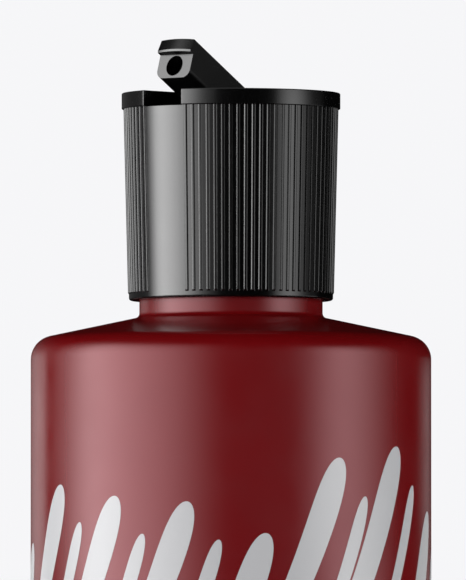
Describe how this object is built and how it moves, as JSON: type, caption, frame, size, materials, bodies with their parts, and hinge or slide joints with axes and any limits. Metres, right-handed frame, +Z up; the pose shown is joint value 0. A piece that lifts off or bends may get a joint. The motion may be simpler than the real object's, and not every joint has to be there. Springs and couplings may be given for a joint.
{
  "type": "flip-spout screw-cap bottle",
  "caption": "Round matt plastic bottle with a sloping shoulder and a ribbed black screw cap that has a flip-up dispensing spout.",
  "frame": {"origin": "centre of the base, on the surface that the bottle stands on", "axes": "+Z up along the bottle's axis; -Y is the side that the spout points to; X runs along the spout's hinge"},
  "size_m": [0.064, 0.064, 0.2082],
  "materials": {
    "bottle_plastic": "matt, fine orange-peel",
    "print_ink": "screen-printed ink on the bottle",
    "liner_foam": "closed-cell foam",
    "insert_plastic": "satin moulded",
    "cap_plastic": "satin moulded",
    "seal_rubber": "soft matt",
    "spout_plastic": "satin moulded"
  },
  "bodies": {
    "bottle": {"bottle": "bottle_plastic"},
    "liner": {"closure_liner": "liner_foam"},
    "cap": {"closure_insert": "insert_plastic", "cap_shell": "cap_plastic", "spout_seal": "seal_rubber"},
    "spout": {"spout": "spout_plastic"}
  },
  "joints": [
    {"name": "cap_rise", "type": "slide", "parent": "bottle", "child": "liner", "axis": [0, 0, 1], "range_m": [0, 0.02117]},
    {"name": "cap_turn", "type": "hinge", "parent": "liner", "child": "cap", "pos_m": [0, 0, 0.1822], "axis": [0, 0, 1], "range_deg": [0, 1800.01]},
    {"name": "spout_tilt", "type": "hinge", "parent": "cap", "child": "spout", "pos_m": [0, -0.0002, 0.1965], "axis": [-1, 0, 0], "range_deg": [-30, 60]}
  ],
  "couplings": [
    {"joint": "cap_turn", "follows": "cap_rise", "rad_per_m": 1484.2}
  ]
}
